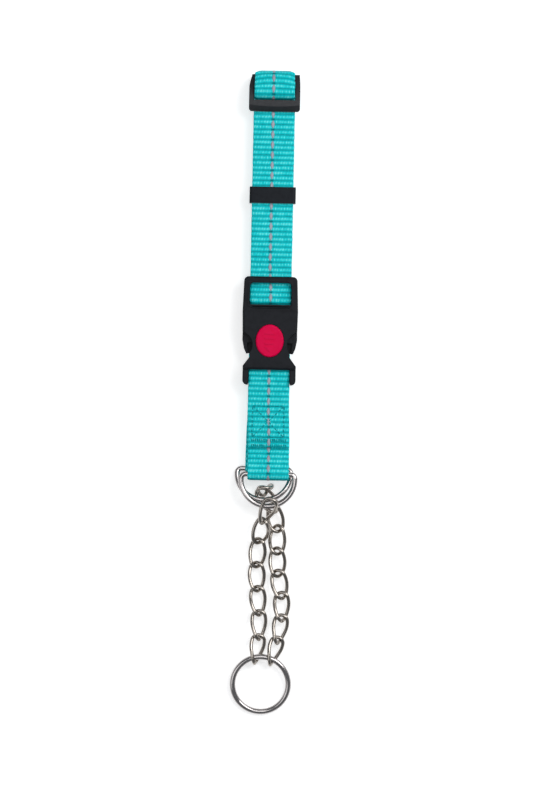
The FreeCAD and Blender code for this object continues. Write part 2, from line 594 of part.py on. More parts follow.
def make_socket():
    """The half that takes the prongs: mouth, side windows where the ears show, a well for
    the lock button, a pocket and bar for the tab strap and two legs beside it."""
    body = new_body("buckle_socket", y="sizes.buckle_place", z="sizes.front_height")
    half = "sizes.strap_width / 2 + sizes.side_gap + sizes.buckle_rail"
    inside = "sizes.strap_width / 2 + sizes.side_gap"
    rise = "sizes.buckle_height / 2"
    plan = new_sketch(body, "plan", "XY_Plane", "-(%s)" % rise)
    outline(plan, [("-(%s)" % half, "0"), ("-(%s) + sizes.buckle_taper" % half,
                                           "-sizes.socket_length"),
                   ("%s - sizes.buckle_taper" % half, "-sizes.socket_length"), (half, "0")])
    extrude(body, "Pad", plan, "block", "sizes.buckle_height")
    round_edges(body, "soft_rims", "1.4", lambda edge: abs(edge.BoundBox.Center.z)
                > size("buckle_height") / 2 - 0.1 and edge.BoundBox.YMin < -0.1)
    sides = new_sketch(body, "side_window_outline", "XY_Plane", "-(%s)" % rise)
    for side in ("-", ""):
        circle(sides, "%s(%s + sizes.waist_out)" % (side, half),
               "-sizes.mouth_depth - sizes.waist_place", "sizes.waist_radius")
    extrude(body, "Pocket", sides, "side_windows", "3 * sizes.buckle_height", symmetric=True)
    flare = new_sketch(body, "flare_outline", "XY_Plane", "-(%s)" % rise)
    for side in ("-", ""):
        outline(flare, [("%s(%s)" % (side, x), y) for x, y in
                        (("%s - sizes.flare_in" % half, "-sizes.flare_start"),
                         ("%s - sizes.buckle_taper + 0.1" % half, "-sizes.flare_end"),
                         ("%s + 2" % half, "-sizes.flare_end"),
                         ("%s + 2" % half, "-sizes.mouth_depth - sizes.waist_place"),
                         ("%s - sizes.flare_in" % half,
                          "-sizes.mouth_depth - sizes.waist_place"))])
    extrude(body, "Pocket", flare, "flare", "3 * sizes.buckle_height", symmetric=True)
    slot = "-sizes.prong_height / 2 - sizes.prong_gap"
    shoulder = "sizes.prong_reach - 1.2"
    end = "-sizes.mouth_depth - 11.5"
    cavity = new_sketch(body, "prong_cavity_outline", "XY_Plane", slot)
    outline(cavity, [("-(%s)" % shoulder, "1"), (shoulder, "1"),
                     (shoulder, "-sizes.mouth_depth"), ("%s + 1" % half, "-sizes.mouth_depth"),
                     ("%s + 1" % half, end), ("-(%s) - 1" % half, end),
                     ("-(%s) - 1" % half, "-sizes.mouth_depth"),
                     ("-(%s)" % shoulder, "-sizes.mouth_depth")])
    extrude(body, "Pocket", cavity, "prong_cavity", "sizes.prong_height + 2 * sizes.prong_gap",
            reverse=True)
    well = new_sketch(body, "button_well_outline", "XY_Plane", "0")
    ellipse(well, "0", "-sizes.mouth_depth - sizes.button_place", "sizes.button_width / 2 + sizes.button_gap",
            "sizes.button_length / 2 + sizes.button_gap")
    extrude(body, "Pocket", well, "button_well", "sizes.buckle_height", reverse=True)
    seat = new_sketch(body, "spring_seat_outline", "XY_Plane", "0")
    circle(seat, "0", "-sizes.mouth_depth - sizes.button_place", "sizes.spring_radius + 0.9")
    extrude(body, "Pocket", seat, "spring_seat", "%s - 1.2" % rise)
    pocket = new_sketch(body, "strap_pocket_outline", "XY_Plane",
                        "-sizes.bar_radius - sizes.bar_gap - sizes.strap_thick - sizes.slip_gap")
    rectangle(pocket, inside, "-sizes.socket_length - 1",
              "-sizes.socket_bar + sizes.bar_radius + sizes.bar_gap + sizes.strap_thick"
              " + sizes.slip_gap")
    extrude(body, "Pocket", pocket, "strap_pocket", "2 * (sizes.bar_radius + sizes.bar_gap"
            " + sizes.strap_thick + sizes.slip_gap)", reverse=True)
    legs = new_sketch(body, "leg_outline", "XY_Plane", "-sizes.leg_height / 2")
    for side in ("-", ""):
        outline(legs, [("%s(%s)" % (side, x), y) for x, y in
                       ((inside, "-sizes.socket_length + 2"),
                        ("%s - sizes.buckle_taper" % half, "-sizes.socket_length + 2"),
                        ("%s - sizes.buckle_taper" % half,
                         "-sizes.socket_length - sizes.leg_length"),
                        (inside, "-sizes.socket_length - sizes.leg_length"))])
    extrude(body, "Pad", legs, "legs", "sizes.leg_height")
    outside = size("strap_width") / 2 + size("side_gap") + size("buckle_rail") / 2
    leg_end = -size("socket_length") - size("leg_length")
    round_edges(body, "leg_corners", "sizes.leg_corner", lambda edge: runs_along(edge, "z")
                and edge.BoundBox.YMax < leg_end + 0.1 and abs(edge.BoundBox.XMin) > outside)
    bar = new_sketch(body, "bar_section", "YZ_Plane")
    circle(bar, "-sizes.socket_bar", "0", "sizes.bar_radius")
    extrude(body, "Pad", bar, "strap_bar", "sizes.strap_width + 2 * sizes.side_gap + 1.6",
            symmetric=True)
    return body


def make_button():
    """An oval button with raised arrows and a block below it that can stand between the
    prongs."""
    body = new_body("lock_button",
                    y="sizes.buckle_place - sizes.mouth_depth - sizes.button_place",
                    z="sizes.front_height")
    top = "sizes.buckle_height / 2 + sizes.button_proud"
    shoulder = "sizes.prong_height / 2 + 0.2 + sizes.button_stroke"
    plan = new_sketch(body, "plan", "XY_Plane", shoulder)
    ellipse(plan, "0", "0", "sizes.button_width / 2", "sizes.button_length / 2")
    extrude(body, "Pad", plan, "cap", "%s - (%s)" % (top, shoulder))
    height = size("buckle_height") / 2 + size("button_proud") - 0.01
    round_edges(body, "soft_rim", "0.8", lambda edge: edge.BoundBox.ZMin > height)
    block = new_sketch(body, "block_outline", "XY_Plane", shoulder)
    rectangle(block, "sizes.prong_hinge - 2.9", "-0.26 * sizes.button_length",
              "0.26 * sizes.button_length")
    extrude(body, "Pad", block, "block", "%s - sizes.prong_height / 2 - 0.25" % shoulder,
            reverse=True)
    marks = new_sketch(body, "grip_outline", "XY_Plane", top)
    for sign in ("-", ""):
        outline(marks, [("-2.3", "%s3.1" % sign), ("2.3", "%s3.1" % sign), ("0", "%s5.4" % sign)])
        rectangle(marks, "2.3", "%s1.3 - 0.4" % sign, "%s1.3 + 0.4" % sign)
    extrude(body, "Pad", marks, "grip", "0.35")
    return body


def make_spring():
    """A coil spring between the socket's floor and the button."""
    floor = size("front_height") - size("buckle_height") / 2 + 1.25
    ceiling = size("front_height") + size("prong_height") / 2 + 0.2
    radius = size("spring_radius")
    wire = size("spring_wire")
    rise = ceiling - floor - wire
    helix = Part.Wire(Part.makeHelix(rise / 4.5, rise, radius))
    section = Part.Wire([Part.makeCircle(wire / 2, Vector(radius, 0, 0), Vector(0, 1, 0))])
    spring = doc.addObject("Part::Feature", "button_spring")
    spring.Label = "button_spring"
    spring.Shape = helix.makePipeShell([section], True, True)
    spring.Placement = FreeCAD.Placement(
        Vector(0, size("buckle_place") - size("mouth_depth") - size("button_place"), floor + wire / 2),
        FreeCAD.Rotation())


# ---------------------------------------------------------------- rings


def make_dee(label, name, height):
    """A D-ring of round wire: a straight bar, rounded corners and a half circle."""
    body = new_body(label, x="sizes.%s_shift" % name, y="sizes.%s_place" % name, z=height)
    body.setExpression("Placement.Rotation.Axis.x", "1")
    body.setExpression("Placement.Rotation.Axis.z", "0")
    body.setExpression("Placement.Rotation.Angle", "sizes.%s_tilt" % name)
    half = size("strap_width") / 2 + size("dee_room")
    corner = size("dee_corner")
    shoulder = -corner - size("dee_side")
    path = new_sketch(body, "path", "XY_Plane")
    z = Vector(0, 0, 1)
    right = Part.Circle(Vector(half - corner, -corner, 0), z, corner)
    left = Part.Circle(Vector(corner - half, -corner, 0), z, corner)
    bow = Part.Circle(Vector(0, shoulder, 0), z, half)
    pieces = [
        Part.LineSegment(Vector(0, 0, 0), Vector(half - corner, 0, 0)),
        Part.ArcOfCircle(right, 0, math.pi / 2),
        Part.LineSegment(Vector(half, -corner, 0), Vector(half, shoulder, 0)),
        Part.ArcOfCircle(bow, math.pi, 2 * math.pi),
        Part.LineSegment(Vector(-half, shoulder, 0), Vector(-half, -corner, 0)),
        Part.ArcOfCircle(left, math.pi / 2, math.pi),
        Part.LineSegment(Vector(corner - half, 0, 0), Vector(0, 0, 0)),
    ]
    for piece in pieces:
        path.addGeometry(piece, False)
    for first, second in (((0, 2), (1, 2)), ((1, 1), (2, 1)), ((2, 2), (3, 2)), ((3, 1), (4, 1)),
                          ((4, 2), (5, 2)), ((5, 1), (6, 1)), ((6, 2), (0, 1))):
        path.addConstraint(Sketcher.Constraint("Coincident", *first, *second))
    across = "(sizes.strap_width / 2 + sizes.dee_room)"
    level = "-sizes.dee_corner"
    low = "-sizes.dee_corner - sizes.dee_side"
    place_point(path, 0, 1, "0", "0")
    place_point(path, 0, 2, "%s - sizes.dee_corner" % across, "0")
    place_point(path, 2, 1, across, level)
    place_point(path, 2, 2, across, low)
    place_point(path, 4, 1, "-" + across, low)
    place_point(path, 4, 2, "-" + across, level)
    place_point(path, 6, 1, "sizes.dee_corner - " + across, "0")
    for arc, expression in ((1, level), (3, low), (5, level)):
        value = float(path.evalExpression(expression))
        held = path.addConstraint(Sketcher.Constraint("DistanceY", -1, 1, arc, 3, value))
        path.setExpression("Constraints[%d]" % held, expression)
    section = new_sketch(body, "wire_section", "YZ_Plane")
    circle(section, "0", "0", "sizes.dee_wire / 2")
    doc.recompute()
    ring = body.newObject("PartDesign::AdditivePipe", "ring")
    ring.Profile = section
    ring.Spine = (path, ["Edge%d" % (number + 1) for number in range(7)])
    return body


# ---------------------------------------------------------------- chain


def heading(yaw, dip):
    """Unit vector down a strand: yaw 0 runs towards -Y, positive towards +X; dip is down."""
    yaw = math.radians(yaw)
    dip = math.radians(dip)
    return Vector(math.sin(yaw) * math.cos(dip), -math.cos(yaw) * math.cos(dip), -math.sin(dip))


def arc_to(start, corner, end):
    """The arc from start to end that touches both legs of their corner."""
    inward = (start - corner).normalize()
    outward = (end - corner).normalize()
    half_turn = (math.pi - inward.getAngle(outward)) / 2
    radius = (start - corner).Length / math.tan(half_turn)
    towards = (inward + outward).normalize()
    middle = corner + towards * (radius / math.cos(half_turn) - radius)
    return Part.Arc(start, middle, end).toShape()


def link_shape():
    """A twisted oval link: a quarter of its centre line is two tangent arcs from the tip to
    the middle of the side, and half turns about its three axes give the rest."""
    twist = math.radians(size("link_twist"))
    half_length = size("link_length") / 2
    half_width = size("link_width") / 2
    lean = math.atan(half_width * twist / half_length)
    tip = Vector(0, half_length, 0)
    tip_way = Vector(math.cos(twist), 0, math.sin(twist))
    side = Vector(half_width, 0, 0)
    side_way = Vector(0, -math.cos(lean), -math.sin(lean))
    first = size("link_tip") * half_length
    span = side - tip
    second = ((span.dot(span) / 2 - first * span.dot(tip_way))
              / (span.dot(side_way) + first * (1 - tip_way.dot(side_way))))
    bend = tip + tip_way * first
    rise = side - side_way * second
    joint = (bend * second + rise * first) * (1 / (first + second))
    quarter = [(tip, bend, joint), (joint, rise, side)]
    lower = [tuple(Vector(p.x, -p.y, -p.z) for p in (end, corner, start))
             for start, corner, end in reversed(quarter)]
    half = quarter + lower
    other = [tuple(Vector(-p.x, -p.y, p.z) for p in points) for points in half]
    tubes = []
    for points in (half, other):
        edges = [arc_to(*corners) for corners in points]
        start = edges[0].valueAt(edges[0].FirstParameter)
        along = edges[0].tangentAt(edges[0].FirstParameter)
        section = Part.Wire([Part.makeCircle(size("link_wire") / 2, start, along)])
        tubes.append(Part.Wire(edges).makePipeShell([section], True, False))
    return tubes[0].fuse(tubes[1]).Solids[0]


def add_link(label, shape, centre, yaw, dip, roll):
    """A link whose length runs along a heading, rolled about its own length."""
    down = heading(yaw, dip)
    level = Vector(math.cos(math.radians(yaw)), math.sin(math.radians(yaw)), 0)
    up = level.cross(down * -1)
    pose = FreeCAD.Rotation(level, down * -1, up, "XYZ")
    link = doc.addObject("Part::Feature", label)
    link.Label = label
    link.Shape = shape
    link.Placement = FreeCAD.Placement(
        centre, pose.multiply(FreeCAD.Rotation(Vector(0, 1, 0), roll)))


def joint_reach(first, second, gap):
    """From a joint back to the tips of two links that meet there along two headings."""
    half_turn = first.getAngle(second) / 2
    return (size("link_wire") + gap) / 2 / math.cos(half_turn)


# Links that pass through the D-rings: middle measured along Y from the lowest point of the
# front D-ring's bow, then yaw, dip and roll.
TOP_LINKS = {
    "link_top_left": ((-0.5, 8.3, 8.5), -150, -80, 0),
    "link_top_right": ((0.5, 2.8, 3.3), 40, 5, 10),
    "link_left_1": ((0.5, -2.2, 12.5), -20, 25, 30),
    "link_right_1": ((4.5, -5.7, 3.1), 13, 0, -10),
}
# Yaw, dip and roll of each link further down the two strands.
STRANDS = {
    "left": [(-12, 30, -5), (-4, 6, 0), (3, 0, 10), (5, -3, 20), (1, -3, 30), (-8, -1, 40)],
    "right": [(0, -6, -5), (3, 5, 2), (11, 0, 12), (1, -3, 22), (-9, -3, 32), (-16, 0, 42)],
}


def top_link(label):
    """Middle, yaw, dip and roll of a link at the D-rings."""
    (x, y, z), yaw, dip, roll = TOP_LINKS[label]
    bow = (size("front_dee_place") - size("dee_corner") - size("dee_side")
           - size("strap_width") / 2 - size("dee_room"))
    return Vector(x, bow + y, z), yaw, dip, roll


def make_strand(side, shape):
    """The links of one strand after its first; returns the middle of the last tip."""
    gap = size("%s_gap" % side)
    reach = size("link_length") / 2
    middle, yaw, dip, roll = top_link("link_%s_1" % side)
    way = heading(yaw, dip)
    tip = middle + way * reach
    for number, (yaw, dip, roll) in enumerate(STRANDS[side], start=2):
        following = heading(yaw, dip)
        overlap = joint_reach(way, following, gap)
        centre = tip - way * overlap + following * (reach - overlap)
        add_link("link_%s_%d" % (side, number), shape, centre, yaw, dip, roll)
        tip = centre + following * reach
        way = following
    return tip


def make_chain():
    shape = link_shape()
    for label in TOP_LINKS:
        add_link(label, shape, *top_link(label))
    return make_strand("left", shape), make_strand("right", shape)


def make_leash_ring(left, right):
    """A ring that both strands end on, resting on the surface at its far side."""
    ring = doc.addObject("Part::Torus", "leash_ring")
    ring.Label = "leash_ring"
    bind(ring, Radius1="sizes.leash_radius", Radius2="sizes.leash_wire / 2")
    inner = (size("leash_radius") - size("leash_wire") / 2 - size("link_wire") / 2
             - size("leash_gap"))
    middle = (left + right) * 0.5
    spread = Vector(right.x - left.x, right.y - left.y, 0)
    drop = Vector(spread.y, -spread.x, 0).normalize()
    centre = middle + drop * math.sqrt(inner ** 2 - (spread.Length / 2) ** 2)
    lift = middle.z
    tilt = math.asin((lift - size("leash_wire") / 2) / (2 * size("leash_radius")))
    centre.z = size("leash_wire") / 2 + size("leash_radius") * math.sin(tilt)
    ring.Placement = FreeCAD.Placement(
        centre, FreeCAD.Rotation(Vector(1, 0, 0), math.degrees(tilt)))


# ---------------------------------------------------------------- the collar

tri_glide = make_tri_glide()
doc.recompute()
make_keeper()
make_prong_frame()
make_prong("prong_left", -1)
make_prong("prong_right", 1)
make_socket()
make_button()
make_dee("d_ring_front", "front_dee", "3 * sizes.strap_thick + 3 * sizes.bar_gap"
         " + 1.5 * sizes.dee_wire + sizes.dee_play")
make_dee("d_ring_back", "back_dee", "sizes.strap_thick + sizes.bar_gap + sizes.dee_wire / 2")
make_spring()
ribbon("adjustable_strap", rounded_path(strap_route()))
ribbon("tab_strap", rounded_path(tab_route()))
make_tab_stitching()
make_hidden_stitching()
make_leash_ring(*make_chain())
doc.recompute()

pieces = []
for piece in doc.Objects:
    if "Invalid" in piece.State or "Error" in piece.State:
        raise RuntimeError("%s did not build: %s" % (piece.Label, piece.State))
    in_body = piece.getParentGeoFeatureGroup() is not None
    if hasattr(piece, "Shape") and not in_body and piece.TypeId != "Spreadsheet::Sheet":
        pieces.append(piece)
for piece in pieces:
    if piece.Shape.isNull() or not piece.Shape.isValid() or not piece.Shape.Solids:
        raise RuntimeError("%s has no valid solid" % piece.Label)

os.makedirs("parts", exist_ok=True)
for piece in pieces:
    piece.Shape.exportStep("parts/%s.step" % piece.Label)
print("%d pieces written" % len(pieces))
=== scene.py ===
"""Looks of the martingale collar: webbing, thread, moulded plastic and plated steel."""

import math

import bmesh
import bpy
import numpy as np
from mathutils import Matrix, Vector


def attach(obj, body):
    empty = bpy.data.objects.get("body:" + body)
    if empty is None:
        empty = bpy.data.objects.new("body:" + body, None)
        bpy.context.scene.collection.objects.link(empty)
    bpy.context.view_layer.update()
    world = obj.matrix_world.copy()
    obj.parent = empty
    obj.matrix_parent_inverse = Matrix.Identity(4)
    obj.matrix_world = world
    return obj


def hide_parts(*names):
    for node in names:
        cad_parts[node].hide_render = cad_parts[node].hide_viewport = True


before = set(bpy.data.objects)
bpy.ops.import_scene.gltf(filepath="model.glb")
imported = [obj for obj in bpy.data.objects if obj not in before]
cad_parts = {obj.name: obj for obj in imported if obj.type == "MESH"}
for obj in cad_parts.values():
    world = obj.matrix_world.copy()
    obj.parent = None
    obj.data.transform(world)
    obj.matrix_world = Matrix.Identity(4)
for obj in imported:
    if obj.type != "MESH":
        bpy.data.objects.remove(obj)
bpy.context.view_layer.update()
MM = 0.001

# ---------------------------------------------------------------- routes of the webbing
# Corners of the middle of the webbing in the YZ plane: y, z and the radius of each turn, mm.

STRAP_ROUTE = [
    (130.60, 5.10, 0.00), (151.75, 5.10, 1.40), (151.75, 11.84, 2.15), (147.45, 11.84, 2.15),
    (147.45, 6.90, 1.00), (63.00, 6.90, 12.00), (48.00, 5.65, 8.00), (44.85, 5.65, 2.15),
    (44.85, 9.95, 2.15), (48.00, 9.95, 8.00), (56.00, 8.70, 12.00), (145.65, 8.70, 0.90),
    (145.65, 13.64, 3.95), (158.60, 13.64, 6.00), (158.60, 0.80, 4.00), (-38.40, 0.80, 2.30),
    (-38.40, 5.40, 2.30), (-35.10, 5.40, 5.00), (-26.10, 2.45, 5.00), (-12.10, 2.45, 0.00),
]
TAB_ROUTE = [
    (-25.40, 9.55, 0.00), (7.80, 9.55, 10.00), (14.80, 9.95, 6.00), (17.95, 9.95, 2.15),
    (17.95, 5.65, 2.15), (14.80, 5.65, 6.00), (7.80, 6.25, 10.00), (-28.60, 6.25, 8.00),
    (-33.60, 7.10, 6.00), (-40.90, 7.10, 2.30), (-40.90, 11.70, 2.30), (-37.60, 11.70, 6.00),
    (-26.60, 7.90, 8.00), (3.80, 7.90, 0.00),
]
# The webbing's section and weave: sizes in mm, then counts of points.
HALF_WIDTH = 10.16
HALF_THICK = 0.8
RIB_PITCH = 2.5
RIB_DEPTH = 0.19
YARN_PITCH = 0.74
EDGE_DIP = 0.20
LINE_HALF = 0.85
RIB_STEPS = 8
COLUMNS = 40

# A float of reflective thread, in mm: half its length and width, how high it crowns, how deep
# its edge sinks into the webbing, and the least height that its points keep over the floor.
FLOAT_HALF_LONG = 1.95
FLOAT_HALF_WIDE = 0.82
FLOAT_CROWN = 0.30
FLOAT_SINK = 0.14
FLOOR_GAP = 0.02


def samples(corners, step):
    """Points and directions every step along a route whose corners are rounded."""
    points = [np.array(corner[:2]) for corner in corners]
    runs = []
    last = points[0]
    for number in range(1, len(corners) - 1):
        corner = points[number]
        inward = points[number - 1] - corner
        inward = inward / np.linalg.norm(inward)
        outward = points[number + 1] - corner
        outward = outward / np.linalg.norm(outward)
        turn = math.pi - math.acos(max(-1.0, min(1.0, float(inward @ outward))))
        radius = corners[number][2]
        reach = radius * math.tan(turn / 2)
        start = corner + inward * reach
        end = corner + outward * reach
        towards = (inward + outward) / np.linalg.norm(inward + outward)
        centre = corner + towards * (radius / math.cos(turn / 2))
        runs.append(("line", last, start))
        runs.append(("arc", start, centre, turn, radius, -inward))
        last = end
    runs.append(("line", last, points[-1]))
    lengths = [np.linalg.norm(run[2] - run[1]) if run[0] == "line" else run[3] * run[4]
               for run in runs]
    total = sum(lengths)
    count = int(round(total / step))
    places = np.linspace(0, total, count + 1)
    positions = []
    directions = []
    index = 0
    begun = 0.0
    for place in places:
        while index < len(runs) - 1 and place > begun + lengths[index]:
            begun += lengths[index]
            index += 1
        run = runs[index]
        ahead = place - begun
        if run[0] == "line":
            way = (run[2] - run[1]) / max(lengths[index], 1e-9)
            positions.append(run[1] + way * ahead)
            directions.append(way)
        else:
            _, start, centre, turn, radius, way = run
            side = (centre - start) / radius
            angle = ahead / radius
            positions.append(centre - side * radius * math.cos(angle)
                             + way * radius * math.sin(angle))
            directions.append(way * math.cos(angle) + side * math.sin(angle))
    return places, np.array(positions), np.array(directions)


def new_mesh(name, vertices, faces, smooth=True):
    """A piece from vertices in metres and their faces."""
    mesh = bpy.data.meshes.new(name)
    mesh.from_pydata([tuple(v) for v in vertices], [], faces)
    mesh.validate()
    if smooth:
        mesh.polygons.foreach_set("use_smooth", [True] * len(mesh.polygons))
    piece = bpy.data.objects.new(name, mesh)
    bpy.context.scene.collection.objects.link(piece)
    return piece


def add_coordinates(piece, values):
    """Keep each vertex's place across and along the webbing, in mm, for its material."""
    layer = piece.data.attributes.new("weave", "FLOAT_VECTOR", "POINT")
    layer.data.foreach_set("vector", np.asarray(values, dtype=np.float32).ravel())


def webbing(name, corners, body, nodes, shift, seed, trim, mark):
    """Ribbed webbing: ribs across both faces, and edges that bulge a little at each rib.

    shift moves it sideways along its length, trim narrows and bows it, and mark says where
    its reflective line runs, along which its material paints shade between the floats.
    """
    places, centres, ways = samples(corners, RIB_PITCH / RIB_STEPS)
    rng = np.random.default_rng(seed)
    phase = (places / RIB_PITCH) % 1.0
    dome = np.sqrt(np.clip(1 - (2 * phase - 1) ** 2, 0, 1))
    ribs = np.floor(places / RIB_PITCH).astype(int)
    wander = rng.normal(0, 0.035, ribs.max() + 2)[ribs]
    fringe = rng.normal(0, 0.05, ribs.max() + 2)[ribs]
    half = HALF_WIDTH - EDGE_DIP * (1 - dome) + np.clip(fringe, -0.08, 0.06)
    across = np.sin(np.linspace(-math.pi / 2, math.pi / 2, COLUMNS) * 0.93)
    across = across / across[-1]
    edge = np.sqrt(np.clip(1 - np.abs(across) ** 14, 0, 1))
    thick = HALF_THICK - RIB_DEPTH * (1 - dome) + wander * 0.4
    vertices = []
    coordinates = []
    faces = []
    ring = 2 * COLUMNS - 2
    for row, (place, centre, way) in enumerate(zip(places, centres, ways)):
        normal = np.array((-way[1], way[0]))
        for side, order in ((1, range(COLUMNS)), (-1, range(COLUMNS - 2, 0, -1))):
            for column in order:
                rise = side * thick[row] * max(edge[column], 0.0)
                point = centre + normal * rise
                narrow, bow = trim(point[0], point[1])
                out = across[column] * (half[row] - narrow)
                vertices.append(((out + shift(centre[0])) * MM,
                                 (point[0] - bow * abs(across[column]) ** 2.5) * MM,
                                 point[1] * MM))
                coordinates.append((across[column] * half[row], place,
                                    mark(centre[0]) - shift(centre[0])))
    for row in range(len(places) - 1):
        for k in range(ring):
            a = row * ring + k
            b = row * ring + (k + 1) % ring
            faces.append((b, a, a + ring, b + ring))
    faces.append(tuple(range(ring)))
    last = (len(places) - 1) * ring
    faces.append(tuple(reversed(range(last, last + ring))))
    piece = new_mesh(name, vertices, faces)
    add_coordinates(piece, coordinates)
    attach(piece, body)
    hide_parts(*nodes)
    return piece


def reflector(name, corners, body, shift):
    """Grey reflective thread: a short pointed float over every second rib."""
    places, centres, ways = samples(corners, 0.25)
    vertices = []
    coordinates = []
    faces = []
    rows = 9
    columns = 7
    middle = RIB_PITCH
    while middle < places[-1] - FLOAT_HALF_LONG:
        base = len(vertices)
        for i in range(rows):
            u = -1 + 2 * i / (rows - 1)
            place = middle + u * FLOAT_HALF_LONG
            k = int(round(place / (places[1] - places[0])))
            k = max(0, min(len(places) - 1, k))
            normal = np.array((-ways[k][1], ways[k][0]))
            width = FLOAT_HALF_WIDE * (1 - abs(u) ** 2.2) ** 0.8 + 0.12
            for j in range(columns):
                v = -1 + 2 * j / (columns - 1)
                crown = FLOAT_CROWN * math.sqrt(max(0.0, 1 - v * v)) * (1 - 0.55 * u * u)
                rise = HALF_THICK - FLOAT_SINK + crown
                point = centres[k] + normal * rise
                vertices.append(((v * width + shift(centres[k][0])) * MM,
                                 point[0] * MM, max(point[1], FLOOR_GAP) * MM))
                coordinates.append((v, u, middle))
        for i in range(rows - 1):
            for j in range(columns - 1):
                a = base + i * columns + j
                faces.append((a, a + 1, a + 1 + columns, a + columns))
        middle += 2 * RIB_PITCH
    piece = new_mesh(name, vertices, faces)
    add_coordinates(piece, coordinates)
    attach(piece, body)
    return piece


# ---------------------------------------------------------------- materials


class Nodes:
    """A material's node tree, with short ways to add to it."""

    def __init__(self, name):
        self.material = bpy.data.materials.new(name)
        self.material.use_nodes = True
        self.tree = self.material.node_tree
        self.shader = self.tree.nodes["Principled BSDF"]

    def add(self, kind, inputs=(), **settings):
        node = self.tree.nodes.new("ShaderNode" + kind)
        for key, value in settings.items():
            setattr(node, key, value)
        for key, value in dict(inputs).items():
            self.feed(node.inputs[key], value)
        return node

    def feed(self, socket, value):
        if isinstance(value, bpy.types.NodeSocket):
            self.tree.links.new(value, socket)
        else:
            socket.default_value = value

    def math(self, operation, first, second=0.0, third=0.0):
        node = self.add("Math", {0: first, 1: second, 2: third}, operation=operation)
        return node.outputs[0]

    def noise(self, vector, scale, detail=3.0, roughness=0.5):
        node = self.add("TexNoise", {"Vector": vector, "Scale": scale, "Detail": detail,
                                     "Roughness": roughness})
        return node.outputs["Fac"]

    def ramp(self, factor, stops):
        node = self.add("ValToRGB", {"Fac": factor})
        elements = node.color_ramp.elements
        while len(elements) < len(stops):
            elements.new(0.5)
        for element, (place, colour) in zip(elements, stops):
            element.position = place
            element.color = tuple(colour) + (1.0,)
        return node.outputs["Color"]

    def between(self, value, low, high):
        node = self.add("MapRange", {"Value": value, "To Min": low, "To Max": high})
        return node.outputs["Result"]

    def mix(self, factor, first, second):
        node = self.add("Mix", data_type="RGBA", blend_type="MIX")
        self.feed(node.inputs["Factor"], factor)
        self.feed(node.inputs["A"], first)
        self.feed(node.inputs["B"], second)
        return node.outputs["Result"]

    def bump(self, height, distance, strength):
        inputs = {"Height": height, "Distance": distance, "Strength": strength}
        return self.add("Bump", inputs).outputs["Normal"]

    def place(self):
        """The surface's place in metres, in the object's own frame."""
        return self.add("TexCoord").outputs["Object"]

    def shade(self, **inputs):
        for name, value in inputs.items():
            self.feed(self.shader.inputs[name.replace("_", " ")], value)
        return self.material


def rgb(red, green, blue):
    """A colour written as it looks on screen, 0 to 255."""
    def linear(value):
        value = value / 255
        return value / 12.92 if value <= 0.04045 else ((value + 0.055) / 1.055) ** 2.4
    return tuple(linear(value) for value in (red, green, blue))


